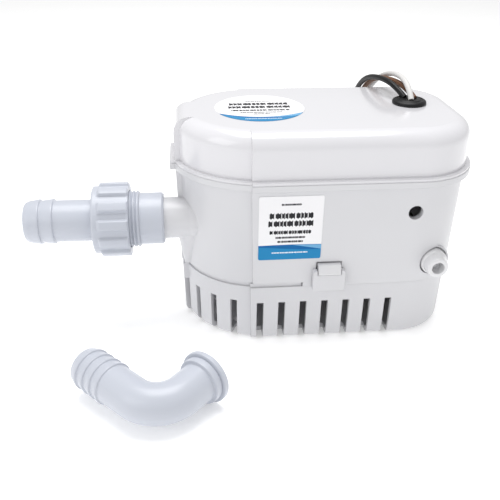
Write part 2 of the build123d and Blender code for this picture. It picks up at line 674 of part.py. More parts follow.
knob_plane = Plane(origin=(PIVOT_X, 0, PIVOT_Z), x_dir=(1, 0, 0), z_dir=(0, 0, 1))
with BuildPart() as test_knob:
    with BuildSketch(knob_plane):
        with BuildLine():
            Polyline((PIVOT_R, SHAFT_FRONT_Y), (PIVOT_R, KNOB_BASE_Y), (6.0, KNOB_BASE_Y), (6.0, -36.2))
            ThreePointArc((6.0, -36.2), (5.75, -37.2), (5.2, -37.9))
            Polyline((5.2, -37.9), (4.7, KNOB_TIP_Y + 0.9))
            ThreePointArc((4.7, KNOB_TIP_Y + 0.9), (4.4, KNOB_TIP_Y + 0.2), (3.8, KNOB_TIP_Y))
            Polyline((3.8, KNOB_TIP_Y), (2.8, KNOB_TIP_Y), (2.8, SHAFT_FRONT_Y), (PIVOT_R, SHAFT_FRONT_Y))
        make_face()
    revolve(axis=Axis((PIVOT_X, 0, PIVOT_Z), (0, 1, 0)))
finish_piece(test_knob, "test_knob")

# ---------------------------------------------------------------------------
# Switch board over the float chamber, reed switch, relay and the leads inside
# ---------------------------------------------------------------------------
BOARD_THICK = 1.6
BOARD_X = (32.0, 66.0)
BOARD_HALF_Y = 19.0
REED_X = 48.0
REED_Z = 77.8
REED_R = 1.4
LEAD_R = 0.8

with BuildPart() as switch_board:
    with BuildSketch(Plane.XY.offset(BOARD_Z)):
        with Locations((sum(BOARD_X) / 2, 0)):
            Rectangle(BOARD_X[1] - BOARD_X[0], 2 * BOARD_HALF_Y)
    extrude(amount=BOARD_THICK)
finish_piece(switch_board, "switch_board")

with BuildPart() as switch_relay:
    with BuildSketch(Plane.XY.offset(BOARD_Z + BOARD_THICK)):
        with Locations((46, -8)):
            Rectangle(18, 12)
    extrude(amount=11)
    fillet(switch_relay.edges().filter_by(Axis.Z), 0.8)
finish_piece(switch_relay, "switch_relay")

with BuildPart() as reed_switch:
    with BuildSketch(Plane.XZ.offset(-7)):
        with Locations((REED_X, REED_Z)):
            Circle(REED_R)
    extrude(amount=14)
    for side in (-1, 1):
        with BuildLine() as pin_line:
            FilletPolyline(
                (REED_X, side * 6.5, REED_Z), (REED_X, side * 9.5, REED_Z), (REED_X, side * 9.5, BOARD_Z), radius=1
            )
        with BuildSketch(Plane(origin=(REED_X, side * 6.5, REED_Z), z_dir=(0, side, 0))):
            Circle(0.35)
        sweep(path=pin_line.line)
finish_piece(reed_switch, "reed_switch")


def tube_along(points, radius, radii):
    """Sweep a round section along straight runs joined by tangent arcs, in the current part."""
    with BuildLine() as route:
        FilletPolyline(*points, radius=radii)
    with BuildSketch(Plane(origin=points[0], z_dir=Vector(*points[1]) - Vector(*points[0]))) as section:
        Circle(radius)
    path = route.wires()[0]
    sweep(section.sketch, path=path)
    return path.length


BOARD_TOP = BOARD_Z + BOARD_THICK
with BuildPart() as motor_leads:
    for side, y in ((1, 4.0), (-1, -14.0)):
        start = (side * TERMINAL_X, 0, BELL_TOP)
        tube_along([start, (start[0], 0, 91), (start[0] + 12, y, 93), (34.5, y, 92), (34.5, y, BOARD_TOP)], LEAD_R, 1.6)
finish_piece(motor_leads, "motor_leads")

GROMMET_LOW = LID_TOP - LID_WALL - 1.4
wire_exits = {"black": (67.2, 5.0), "brown": (71.4, 3.4), "white": (69.0, 0.6)}
with BuildPart() as supply_leads:
    for i, (x, y) in enumerate(wire_exits.values()):
        foot = (59.0, 6.0 + 3.2 * i)
        tube_along([(x, y, GROMMET_LOW), (x, y, 91.5), (foot[0], foot[1], 88.5), (*foot, BOARD_TOP)], LEAD_R, 1.8)
finish_piece(supply_leads, "supply_leads")

# ---------------------------------------------------------------------------
# Outlet: union collar, check valve, washer, hose tail and union nut, on the outlet's axis
# ---------------------------------------------------------------------------
OUTLET_AXIS = Axis((0, OUTLET_Y, OUTLET_Z), (1, 0, 0))
outlet_plane = Plane(origin=(0, OUTLET_Y, OUTLET_Z), x_dir=(1, 0, 0), z_dir=(0, -1, 0))
COLLAR_R = 11.6
COLLAR_RIGHT = -43.9
COLLAR_FACE = -69.8
THREAD_X = -54.5
THREAD_ROOT_R = 12.0
THREAD_R = 12.7
THREAD_PITCH = 1.65
THREAD_TURNS = 9
VALVE_SEAT_X = -52.5
VALVE_BORE_R = 9.8
WASHER_THICK = 1.2
FLANGE_R = 12.9
FLANGE_THICK = 2.2
TAIL_BORE_R = 7.0
TAIL_END = -104.9
BARB_R = 10.0
BARB_LAND = 1.2
barb_x = (-92.0, -97.9)

with BuildPart() as union_collar:
    with BuildSketch(outlet_plane):
        with BuildLine():
            Polyline(
                (COLLAR_RIGHT, TAIL_R), (COLLAR_RIGHT, COLLAR_R), (THREAD_X, COLLAR_R), (THREAD_X, THREAD_ROOT_R),
                (COLLAR_FACE, THREAD_ROOT_R), (COLLAR_FACE, VALVE_BORE_R), (VALVE_SEAT_X, VALVE_BORE_R),
                (VALVE_SEAT_X, RISER_BORE_R + 1), (STUB_END, RISER_BORE_R + 1), (STUB_END, TAIL_R),
                close=True,
            )
        make_face()
        # turns of the thread, as separate rings
        for i in range(THREAD_TURNS):
            crest = THREAD_X - 0.8 - THREAD_PITCH * i
            with BuildLine():
                Polyline(
                    (crest - 0.7, THREAD_ROOT_R), (crest - 0.3, THREAD_R), (crest + 0.3, THREAD_R),
                    (crest + 0.7, THREAD_ROOT_R), (crest, THREAD_ROOT_R - 0.5),
                    close=True,
                )
            make_face()
    revolve(axis=OUTLET_AXIS)
    chamfer(union_collar.edges().filter_by(GeomType.CIRCLE).sort_by(Axis.X)[-1], 0.8)
    with BuildSketch(Plane.XZ.offset(-OUTLET_Y - 6.6)):
        with Locations((VALVE_SEAT_X - 1.4, OUTLET_Z + 7.6)):
            Circle(0.6)
    extrude(amount=13.2, mode=Mode.SUBTRACT)
finish_piece(union_collar, "union_collar")

FLAP_THICK = 1.2
FLAP_R = 7.5
FLAP_GAP = 0.25
HINGE_X = VALVE_SEAT_X - 1.4
HINGE_Z = OUTLET_Z + 7.6

with BuildPart() as check_valve_pin:
    with BuildSketch(Plane.XZ.offset(-OUTLET_Y - 6.6)):
        with Locations((HINGE_X, HINGE_Z)):
            Circle(0.6)
    extrude(amount=13.2)
finish_piece(check_valve_pin, "check_valve_pin")

with BuildPart() as check_valve_flap:
    with BuildSketch(Plane.YZ.offset(VALVE_SEAT_X - FLAP_GAP - FLAP_THICK)):
        with Locations((OUTLET_Y, OUTLET_Z - 0.4)):
            Circle(FLAP_R)
        with Locations((OUTLET_Y, OUTLET_Z + 6.6)):
            Rectangle(5, 2)
    extrude(amount=FLAP_THICK)
    with BuildSketch(Plane.XZ.offset(-OUTLET_Y - 2.5)):
        with Locations((HINGE_X, HINGE_Z)):
            Circle(1.15)
    extrude(amount=5)
    with BuildSketch(Plane.XZ.offset(-OUTLET_Y - 3)):
        with Locations((HINGE_X, HINGE_Z)):
            Circle(0.6 + RUNNING)
    extrude(amount=6, mode=Mode.SUBTRACT)
finish_piece(check_valve_flap, "check_valve_flap")

with BuildPart() as union_washer:
    with BuildSketch(Plane.YZ.offset(COLLAR_FACE - WASHER_THICK)):
        with Locations((OUTLET_Y, OUTLET_Z)):
            Circle(THREAD_ROOT_R - 0.2)
            Circle(VALVE_BORE_R, mode=Mode.SUBTRACT)
    extrude(amount=WASHER_THICK)
finish_piece(union_washer, "union_washer")

TAIL_FACE = COLLAR_FACE - WASHER_THICK
with BuildPart() as hose_tail:
    with BuildSketch(outlet_plane):
        with BuildLine():
            outline = [(TAIL_FACE, TAIL_BORE_R), (TAIL_FACE, FLANGE_R), (TAIL_FACE - FLANGE_THICK, FLANGE_R)]
            outline.append((TAIL_FACE - FLANGE_THICK, TAIL_R))
            for x in barb_x:
                outline += [(x, TAIL_R), (x, BARB_R), (x - BARB_LAND, BARB_R), (x - 5.0, TAIL_R)]
            outline += [(TAIL_END + 1.9, TAIL_R - 0.1), (TAIL_END + 0.6, TAIL_R - 0.6), (TAIL_END, TAIL_R - 1.4)]
            outline.append((TAIL_END, TAIL_BORE_R))
            Polyline(*outline, close=True)
        make_face()
    revolve(axis=OUTLET_AXIS)
finish_piece(hose_tail, "hose_tail")

NUT_LEFT, NUT_RIGHT = -74.9, -58.9
NUT_R = 15.1
RIB_R = 16.65
RIBS = 12
RIB_LENGTH = 13.3
with BuildPart() as union_nut:
    with BuildSketch(outlet_plane):
        with BuildLine():
            Polyline(
                (NUT_LEFT, TAIL_R + 0.4), (NUT_LEFT, NUT_R), (NUT_RIGHT, NUT_R), (NUT_RIGHT, THREAD_R + FIT),
                (TAIL_FACE - FLANGE_THICK - FIT, THREAD_R + 0.5), (TAIL_FACE - FLANGE_THICK - FIT, TAIL_R + 0.4),
                close=True,
            )
        make_face()
    revolve(axis=OUTLET_AXIS)
    for i in range(RIBS):
        turn = 360 / RIBS * (i + 0.5)
        rib_plane = Plane(origin=(NUT_RIGHT, OUTLET_Y, OUTLET_Z), z_dir=(-1, 0, 0)).rotated((turn, 0, 0))
        with BuildSketch(rib_plane):
            with Locations((0, NUT_R)):
                Rectangle(4.2, 2 * (RIB_R - NUT_R))
        extrude(amount=RIB_LENGTH)
finish_piece(union_nut, "union_nut")

# ---------------------------------------------------------------------------
# Spare elbow tail, lying loose in front of the pump
# ---------------------------------------------------------------------------
ELBOW_R = 8.3
ELBOW_BORE_R = 6.2
ELBOW_BEND_R = 12.7
ELBOW_LONG, ELBOW_SHORT = 43.7, 28.6    # from the corner of its centre line to each end
ELBOW_FLANGE_R = 11.25
ELBOW_SHOULDER_R = 9.9
ELBOW_BARB_R = 9.0
ELBOW_BARB_PITCH = 4.4
ELBOW_BARBS = 4
ELBOW_TURN = 133.5      # heading of the barbed leg on the floor, degrees
ELBOW_ANGLE = 85.6      # between the legs
barbed_dir = (cos(radians(ELBOW_TURN)), sin(radians(ELBOW_TURN)), 0)
elbow_plane = Plane(origin=(-47.0, -95.7, ELBOW_FLANGE_R), x_dir=barbed_dir, z_dir=(0, 0, 1))
barbed_axis = Axis(elbow_plane.origin, elbow_plane.x_dir)
short_end = (ELBOW_SHORT * cos(radians(ELBOW_ANGLE)), -ELBOW_SHORT * sin(radians(ELBOW_ANGLE)))

with BuildLine(elbow_plane) as elbow_line:
    FilletPolyline((ELBOW_LONG, 0), (0, 0), short_end, radius=ELBOW_BEND_R)
elbow_path = elbow_line.wires()[0]
with BuildPart() as elbow_tail:
    with BuildSketch(Plane(origin=elbow_path @ 0, z_dir=elbow_path % 0)):
        Circle(ELBOW_R)
    sweep(path=elbow_path)
    with BuildSketch(elbow_plane) as barbed_profile:
        for i in range(ELBOW_BARBS):
            end = ELBOW_LONG - ELBOW_BARB_PITCH * i
            slim = ELBOW_R + (0.0 if i else -0.7)
            with BuildLine():
                Polyline(
                    (end, 0), (end, slim), (end - ELBOW_BARB_PITCH + 0.6, ELBOW_BARB_R),
                    (end - ELBOW_BARB_PITCH, ELBOW_BARB_R), (end - ELBOW_BARB_PITCH, 0),
                    close=True,
                )
            make_face()
    revolve(axis=barbed_axis)
    for radius, thick in ((ELBOW_FLANGE_R, 2.2), (ELBOW_SHOULDER_R, 5.6)):
        with BuildSketch(Plane(origin=elbow_path @ 1, z_dir=elbow_path % 1)):
            Circle(radius)
        extrude(amount=-thick)
    with BuildSketch(Plane(origin=elbow_path @ 0, z_dir=elbow_path % 0)):
        Circle(ELBOW_BORE_R)
    sweep(path=elbow_path, mode=Mode.SUBTRACT)
finish_piece(elbow_tail, "elbow_tail")

# ---------------------------------------------------------------------------
# Labels: one on the front wall, one round label on the cover
# ---------------------------------------------------------------------------
LABEL_THICK = 0.2
LABEL_X = (-3.8, 23.5)
LABEL_Z = (43.0, 73.1)
TOP_LABEL_R = 19.9

label_x, label_z = sum(LABEL_X) / 2, sum(LABEL_Z) / 2
lean = radians(DRAFT)
label_plane = Plane(
    origin=(label_x, -(HALF_WIDTH - body_inset(label_z)), label_z),
    x_dir=(1, 0, 0),
    z_dir=(0, -cos(lean), -sin(lean)),
)
with BuildPart() as side_label:
    with BuildSketch(label_plane):
        RectangleRounded(LABEL_X[1] - LABEL_X[0], LABEL_Z[1] - LABEL_Z[0], 0.8)
    extrude(amount=LABEL_THICK)
finish_piece(side_label, "side_label")

with BuildPart() as top_label:
    with BuildSketch(Plane.XY.offset(LID_TOP)):
        Circle(TOP_LABEL_R)
    extrude(amount=LABEL_THICK)
finish_piece(top_label, "top_label")

# ---------------------------------------------------------------------------
# Supply wires: out of the grommet, over the cover's far edge, down behind the pump, and
# wound into one neat coil on the floor. Each tube is straight runs joined by tangent arcs.
# ---------------------------------------------------------------------------
WIRE_LENGTH = 800.0     # each wire, from the grommet to its bare end
WIRE_PITCH = 2.8        # from one turn or one wire to the next
COIL_X, COIL_Y = 70.9, 84.0
COIL_Z = 2.1            # centre of the first turn
COIL_R = {"white": 13.0, "brown": 13.0 + WIRE_PITCH, "black": 13.0 + 2 * WIRE_PITCH}
TIP_LENGTH = 7.0
TIP_R = 0.8
coil_outer = COIL_R["black"] + WIRE_PITCH / 2
wire_routes = {
    "black": [
        (67.2, 5.0, 101.4), (64.0, 10.5, 105.6), (60.0, 23.0, 106.6), (56.5, 37.5, 103.0), (55.0, 49.5, 91.5),
        (54.0, 55.5, 69.0), (52.9, 54.0, 45.0), (52.3, 56.0, 23.0), (52.3, 63.0, 7.5), (52.3, 74.0, 2.1),
        (52.3, 84.0, 2.1),
    ],
    "brown": [
        (71.4, 3.4, 101.4), (69.0, 9.0, 104.9), (65.3, 21.0, 105.9), (60.5, 37.5, 103.0), (58.2, 49.8, 91.5),
        (56.6, 55.7, 69.0), (55.7, 54.2, 45.0), (55.1, 56.2, 23.0), (55.1, 63.2, 7.5), (55.1, 74.0, 2.1),
        (55.1, 84.0, 2.1),
    ],
    "white": [
        (69.0, 0.6, 101.4), (68.9, 6.0, 107.2), (66.9, 20.0, 109.4), (64.0, 37.5, 103.8), (61.3, 49.9, 91.7),
        (59.2, 55.9, 69.0), (58.4, 54.4, 45.0), (57.9, 56.4, 23.0), (57.9, 63.4, 7.5), (57.9, 74.2, 2.1),
        (57.9, 84.0, 2.1),
    ],
}


def corner_radii(points):
    """The radius of each corner's arc: 0.45 of its shorter run, over the tangent of half the turn."""
    runs = [Vector(*b) - Vector(*a) for a, b in zip(points, points[1:])]
    radii = []
    for run, following in zip(runs, runs[1:]):
        half_turn = radians(run.get_angle(following)) / 2
        radii.append(0.45 * min(run.length, following.length) / tan(half_turn))
    return radii


tip_ends = {}
for colour, points in wire_routes.items():
    radii = corner_radii(points)
    with BuildPart() as wire:
        lead = tube_along(points, WIRE_R, radii)
        swept = wire.part.volume
        with BuildSketch(Plane.XY.offset(-1)):
            with Locations((COIL_X, COIL_Y)):
                Circle(coil_outer)
        extrude(amount=40, mode=Mode.SUBTRACT)
    finish_piece(wire, f"wire_{colour}")
    coil_r = COIL_R[colour]
    turns = (WIRE_LENGTH - TIP_LENGTH - lead) / (2 * pi * coil_r)
    top = COIL_Z + WIRE_PITCH * turns
    tip_ends[colour] = (coil_r, 2 * pi * turns, top)
    with BuildPart() as coil:
        with BuildSketch(Plane.XY.offset(COIL_Z - WIRE_R)):
            with Locations((COIL_X, COIL_Y)):
                Circle(coil_r + WIRE_PITCH / 2)
                Circle(coil_r - WIRE_PITCH / 2, mode=Mode.SUBTRACT)
        extrude(amount=top - COIL_Z + 2 * WIRE_R)
    finish_piece(coil, f"coil_{colour}")
    print(colour, "lead", round(lead, 1), "turns", round(turns, 3), "volume ratio", round(swept / (pi * WIRE_R**2 * lead), 4))
    print("  radii", [round(r, 1) for r in radii])

with BuildPart() as wire_tips:
    for coil_r, angle, top in tip_ends.values():
        end = (COIL_X - coil_r * cos(angle), COIL_Y + coil_r * sin(angle), top)
        with BuildSketch(Plane(origin=end, z_dir=(sin(angle), cos(angle), 0))):
            Circle(TIP_R)
        extrude(amount=TIP_LENGTH)
finish_piece(wire_tips, "wire_tips")

TIE_W = 4.0
TIE_THICK = 0.7
coil_inner = COIL_R["white"] - WIRE_PITCH / 2
tie_top = max(top for _, _, top in tip_ends.values()) + WIRE_R
with BuildPart() as wire_tie:
    with BuildSketch(Plane.XZ.offset(-COIL_Y - TIE_W / 2)):
        with Locations((COIL_X + (coil_inner + coil_outer) / 2 - 0.1, tie_top / 2 + 0.4)):
            Rectangle(coil_outer - coil_inner + 2.0, tie_top + 0.8)
            Rectangle(coil_outer - coil_inner + 0.4, tie_top - 0.6, mode=Mode.SUBTRACT)
    extrude(amount=TIE_W)
finish_piece(wire_tie, "wire_tie")
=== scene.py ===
import bpy
import numpy as np
from mathutils import Matrix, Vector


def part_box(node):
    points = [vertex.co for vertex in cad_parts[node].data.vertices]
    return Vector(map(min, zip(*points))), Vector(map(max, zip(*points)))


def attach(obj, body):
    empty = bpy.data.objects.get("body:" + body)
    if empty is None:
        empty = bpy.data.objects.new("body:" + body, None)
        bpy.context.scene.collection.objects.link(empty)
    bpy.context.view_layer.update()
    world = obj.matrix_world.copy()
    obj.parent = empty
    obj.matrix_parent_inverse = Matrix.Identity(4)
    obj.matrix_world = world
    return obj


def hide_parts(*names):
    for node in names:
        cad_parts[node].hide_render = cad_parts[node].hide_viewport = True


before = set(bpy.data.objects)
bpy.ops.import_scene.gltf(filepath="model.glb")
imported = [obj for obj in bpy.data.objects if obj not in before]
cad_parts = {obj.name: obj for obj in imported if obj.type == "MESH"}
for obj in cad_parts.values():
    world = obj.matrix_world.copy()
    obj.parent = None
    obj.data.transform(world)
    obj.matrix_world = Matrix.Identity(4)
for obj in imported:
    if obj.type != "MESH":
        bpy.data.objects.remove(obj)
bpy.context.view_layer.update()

# Camera: a long normal lens looking down on the pump from the front, a little from the outlet's side.
# It stands about 0.32 m off and is tipped by half a degree, as a hand-set tripod head is.
azimuth, elevation, roll = np.radians([5.78, 28.38, 0.633])
level = np.array([np.cos(azimuth), -np.sin(azimuth), 0.0])
outward = np.array([-np.sin(azimuth), -np.cos(azimuth), 0.0])
back = np.cos(elevation) * outward + np.sin(elevation) * np.array([0.0, 0.0, 1.0])
upright = np.cross(back, level)
right = np.cos(roll) * level + np.sin(roll) * upright
up = np.cos(roll) * upright - np.sin(roll) * level
aim = np.array([-0.0035, 0.0, 0.0277])
STAND_OFF = 0.3245
view_from = aim + STAND_OFF * back

camera_data = bpy.data.cameras.new("camera")
camera_data.sensor_width = 36.0
camera_data.lens = 47.24
camera_data.clip_start = 0.01
camera = bpy.data.objects.new("camera", camera_data)
bpy.context.collection.objects.link(camera)
turn = np.eye(4)
turn[:3, 0], turn[:3, 1], turn[:3, 2], turn[:3, 3] = right, up, back, view_from
camera.matrix_world = Matrix(turn.tolist())
bpy.context.scene.camera = camera
bpy.context.scene.view_settings.view_transform = "Standard"


# Supply wires: three stranded copper leads in soft PVC, 2.6 mm over the insulation.
# They leave the grommet together, arch over the cover's far edge and drop behind the pump, and
# what is left of each 0.8 m is wound into one neat coil on the floor, ending in a bare tip.
class Socket:
    """A shader socket whose arithmetic adds Math nodes to its own tree."""

    def __init__(self, tree, output):
        self.tree = tree
        self.output = output

    def node(self, kind, settings=None, **inputs):
        """Add one node: its settings first, then a value or a link for each named socket."""
        made = self.tree.nodes.new(kind)
        for name, value in (settings or {}).items():
            setattr(made, name, value)
        for name, value in inputs.items():
            into = next(s for s in made.inputs if s.name == name and s.enabled)
            if isinstance(value, Socket):
                self.tree.links.new(value.output, into)
            else:
                into.default_value = value
        return made

    def maths(self, operation, other=0.0):
        """One Math node, as a socket."""
        made = self.tree.nodes.new("ShaderNodeMath")
        made.operation = operation
        for into, value in zip(made.inputs, (self, other)):
            if isinstance(value, Socket):
                self.tree.links.new(value.output, into)
            else:
                into.default_value = value
        return Socket(self.tree, made.outputs[0])

    def __add__(self, other):
        return self.maths("ADD", other)

    __radd__ = __add__

    def __sub__(self, other):
        return self.maths("SUBTRACT", other)

    def __mul__(self, other):
        return self.maths("MULTIPLY", other)

    def __gt__(self, other):
        return self.maths("GREATER_THAN", other)

    def __lt__(self, other):
        return self.maths("LESS_THAN", other)


def new_finish(name):
    """A material with a Principled BSDF, its object coordinates and the shader node."""
    material = bpy.data.materials.new(name)
    material.use_nodes = True
    tree = material.node_tree
    shader = next(n for n in tree.nodes if n.type == "BSDF_PRINCIPLED")
    place = tree.nodes.new("ShaderNodeTexCoord").outputs["Object"]
    return material, shader, Socket(tree, place)


def link(value, shader, name):
    """Feed a socket into the shader."""
    value.tree.links.new(value.output, shader.inputs[name])


def noise(place, scale, detail=2.0):
    """Smooth noise of a scale in cycles per metre, from 0 to 1."""
    made = place.node("ShaderNodeTexNoise", Vector=place, Scale=scale, Detail=detail)
    return Socket(place.tree, made.outputs["Factor" if "Factor" in made.outputs else "Fac"])


def blend_colour(place, mask, first, second):
    """Mix two colours, or two colour sockets, by a mask."""
    made = place.node("ShaderNodeMix", {"data_type": "RGBA"})
    pairs = (("Factor", mask), ("A", first), ("B", second))
    for name, value in pairs:
        into = next(s for s in made.inputs if s.name == name and s.enabled)
        if isinstance(value, Socket):
            place.tree.links.new(value.output, into)
        else:
            into.default_value = value if isinstance(value, float) else (*value, 1.0)[: 4]
    return Socket(place.tree, next(s for s in made.outputs if s.enabled))


def bumped(place, shader, height, distance, strength=1.0, soft_edge=0.0):
    """Feed a height in the range 0 to 1 into the normal; a soft edge rounds the arrises by that radius."""
    made = place.node("ShaderNodeBump", Height=height, Distance=distance, Strength=strength)
    if soft_edge:
        rounded = place.node("ShaderNodeBevel", {"samples": 6}, Radius=soft_edge)
        place.tree.links.new(rounded.outputs["Normal"], made.inputs["Normal"])
    place.tree.links.new(made.outputs["Normal"], shader.inputs["Normal"])


def moulded(name, colour, roughness, mottle=0.02, grain=0.00002, coat=0.0, soft_edge=0.0, index=1.53):
    """Moulded plastic or rubber: faint flow mottling, a fine orange-peel skin and uneven gloss."""
    material, shader, place = new_finish(name)
    darker = tuple(c * (1 - mottle) for c in colour)
    link(blend_colour(place, noise(place, 55.0, 3.0), darker, colour), shader, "Base Color")
    link(roughness * 0.9 + noise(place, 900.0) * (roughness * 0.25), shader, "Roughness")
    bumped(place, shader, noise(place, 1400.0, 3.0), grain, 0.5, soft_edge)
    shader.inputs["Coat Weight"].default_value = coat
    shader.inputs["Coat Roughness"].default_value = 0.12
    shader.inputs["IOR"].default_value = index
    return material


WIRE_GAP = 0.0028
COIL_CENTRE = np.array([0.0709, 0.084])
COIL_LOW = 0.0021
WIRE_DIAMETER = 0.0026
CUT_LENGTH = 0.8
TIP_LENGTH = 0.007
TURN_POINTS = 16
wires = {
    "black": (
        (0.006, 0.006, 0.007), 0.0186, 0.1596,
        [(0.0672, 0.005, 0.1014), (0.064, 0.0105, 0.1056), (0.06, 0.023, 0.1066), (0.0565, 0.0375, 0.103),
         (0.055, 0.0495, 0.0915), (0.054, 0.0555, 0.069), (0.0529, 0.054, 0.045), (0.0523, 0.056, 0.023),
         (0.0523, 0.063, 0.0075), (0.0523, 0.074, 0.0021)],
    ),
    "brown": (
        (0.165, 0.078, 0.041), 0.0158, 0.1606,
        [(0.0714, 0.0034, 0.1014), (0.069, 0.009, 0.1049), (0.0653, 0.021, 0.1059), (0.0605, 0.0375, 0.103),
         (0.0582, 0.0498, 0.0915), (0.0566, 0.0557, 0.069), (0.0557, 0.0542, 0.045), (0.0551, 0.0562, 0.023),
         (0.0551, 0.0632, 0.0075), (0.0551, 0.074, 0.0021)],
    ),
    "white": (
        (0.72, 0.71, 0.70), 0.013, 0.1649,
        [(0.069, 0.0006, 0.1014), (0.0689, 0.006, 0.1072), (0.0669, 0.02, 0.1094), (0.064, 0.0375, 0.1038),
         (0.0613, 0.0499, 0.0917), (0.0592, 0.0559, 0.069), (0.0584, 0.0544, 0.045), (0.0579, 0.0564, 0.023),
         (0.0579, 0.0634, 0.0075), (0.0579, 0.0742, 0.0021)],
    ),
}
for colour, (shade, coil_r, lead, route) in wires.items():
    turns = (CUT_LENGTH - TIP_LENGTH - lead) / (2 * np.pi * coil_r)
    steps = int(round(turns * TURN_POINTS))
    angle = np.linspace(0, 2 * np.pi * turns, steps + 1)
    wide = coil_r / np.cos(np.pi / TURN_POINTS)
    coil_x = COIL_CENTRE[0] - wide * np.cos(angle)
    coil_y = COIL_CENTRE[1] + wide * np.sin(angle)
    coil_z = COIL_LOW + WIRE_GAP * angle / (2 * np.pi)
    coil = np.stack([coil_x, coil_y, coil_z], axis=1)
    points = np.vstack([np.array(route), coil])
    curve = bpy.data.curves.new(f"lead_{colour}", "CURVE")
    curve.dimensions = "3D"
    curve.bevel_depth = WIRE_DIAMETER / 2
    curve.bevel_resolution = 4
    curve.resolution_u = 6
    curve.use_fill_caps = True
    spline = curve.splines.new("NURBS")
    spline.points.add(len(points) - 1)
    spline.points.foreach_set("co", np.hstack([points, np.ones((len(points), 1))]).ravel())
    spline.order_u = 3
    spline.use_endpoint_u = True
    lead_piece = bpy.data.objects.new(f"lead_{colour}", curve)
    bpy.context.collection.objects.link(lead_piece)
    curve.materials.append(moulded(f"pvc_{colour}", shade, 0.38, mottle=0.12, grain=0.00003, index=1.38))
    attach(lead_piece, "housing")
    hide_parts(f"wire_{colour}", f"coil_{colour}")

# Bare ends and tie: tinned copper strands twisted together, and a black nylon tie round the coil.
# The tips are plain rods in a streaked finish, and the separate strands aren't modelled.
def coat_node(names, material):
    """Give carried-over nodes a finish."""
    for name in names:
        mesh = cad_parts[name].data
        mesh.materials.clear()
        mesh.materials.append(material)


def metal(name, colour, roughness, scratch=0.15, soft_edge=0.0):
    """Plain metal: uneven tone, fine drawn scratches round the Z axis and a broken gloss."""
    material, shader, place = new_finish(name)
    dull = tuple(c * 0.7 for c in colour)
    link(blend_colour(place, noise(place, 120.0, 4.0), dull, colour), shader, "Base Color")
    shader.inputs["Metallic"].default_value = 1.0
    streak = place.node("ShaderNodeMapping", {}, Vector=place, Scale=(40.0, 40.0, 2500.0))
    drawn = noise(Socket(place.tree, streak.outputs["Vector"]), 1.0, 4.0)
    link(drawn * scratch + roughness, shader, "Roughness")
    bumped(place, shader, drawn, 0.00001, 0.4, soft_edge)
    return material


coat_node(["wire_tips"], metal("tinned_strand", (0.78, 0.6, 0.42), 0.35))
coat_node(["wire_tie"], moulded("nylon_tie", (0.02, 0.02, 0.02), 0.4, mottle=0.2))

# Top cover: one deep lid moulded in white ABS and polished, with a stepped edge that sits on the flange.
# It has the glossiest face of the pump.
coat_node(
    ["top_cover"],
    moulded("white_abs_polished", (0.735, 0.73, 0.757), 0.15, 0.012, 0.00001, coat=0.6, soft_edge=0.0005),
)
coat_node(["cover_gasket"], moulded("grey_nitrile", (0.5, 0.5, 0.51), 0.5, mottle=0.15))


# Round label on the cover: printed vinyl film, white, with a blue foot and generic lines of print.
# Each line of print is given by its level, half width, half height, frequency of letters and shift.
def axis_of(place, name):
    """One coordinate of the object's own coordinates, in metres."""
    split = place.tree.nodes.new("ShaderNodeSeparateXYZ")
    place.tree.links.new(place.output, split.inputs[0])
    return Socket(place.tree, split.outputs[name])


def print_line(across, down, middle, level, half_width, half_height, words, shift):
    """A line of print as a mask: a bar with a ragged edge, cut by thin gaps of uneven pitch, like type."""
    phase = across * words + shift
    uneven = phase * 1.6 + (phase * 0.43).maths("SINE") * 1.9
    height = (phase * 2.3).maths("SINE") * (0.16 * half_height) + 0.84 * half_height
    bar = ((across - middle).maths("ABSOLUTE") < half_width) * ((down - level).maths("ABSOLUTE") < height)
    return bar * (uneven.maths("SINE") > -0.9)


def label_film(name, lines, across_axis, down_axis, middle, foot_level, foot_bow, white_line):
    """Vinyl film: dark lines of print over a blue foot, which has a bowed top, a wave and a pale wedge."""
    material, shader, place = new_finish(name)
    across, down = axis_of(place, across_axis), axis_of(place, down_axis)
    print_mask = None
    for level, half_width, half_height, words, shift in lines:
        line = print_line(across, down, middle, level, half_width, half_height, words, shift)
        print_mask = line if print_mask is None else print_mask.maths("MAXIMUM", line)
    offset = across - middle
    edge = offset * offset * foot_bow + foot_level
    film = blend_colour(place, noise(place, 70.0), (0.885, 0.88, 0.9), (0.915, 0.91, 0.925))
    film = blend_colour(place, print_mask, film, (0.018, 0.018, 0.022))
    foot = down < edge
    wave_edge = edge - (offset * 115.0 + 0.6).maths("SINE") * 0.0009 - 0.0017
    blue = blend_colour(place, down < wave_edge, (0.0, 0.13, 0.38), (0.012, 0.235, 0.5))
    crest = (down < (edge - 0.0002)) * (down > (edge - offset * 0.17))
    blue = blend_colour(place, crest, blue, (0.16, 0.42, 0.68))
    level, half_width, half_height, words = white_line
    address = print_line(across, down, middle, level, half_width, half_height, words, 0.4)
    blue = blend_colour(place, address, blue, (0.8, 0.85, 0.9))
    link(blend_colour(place, foot, film, blue), shader, "Base Color")
    link(noise(place, 500.0) * 0.08 + 0.3, shader, "Roughness")
    bumped(place, shader, noise(place, 900.0, 3.0), 0.000012, 0.4)
    shader.inputs["IOR"].default_value = 1.3
    return material


coat_node(
    ["top_label"],
    label_film(
        "film_round",
        [
            (0.0098, 0.0055, 0.0005, 3200.0, 0.3),
            (0.0054, 0.0132, 0.0019, 1500.0, 0.9),
            (0.0006, 0.0138, 0.0019, 1500.0, 2.2),
            (-0.0042, 0.0128, 0.0011, 2100.0, 0.2),
            (-0.0074, 0.0092, 0.0006, 3300.0, 1.2),
            (-0.0098, 0.0036, 0.0006, 3300.0, 2.1),
        ],
        "X", "Y", 0.0, -0.0141, 18.0, (-0.0165, 0.0078, 0.0004, 4000.0),
    ),
)

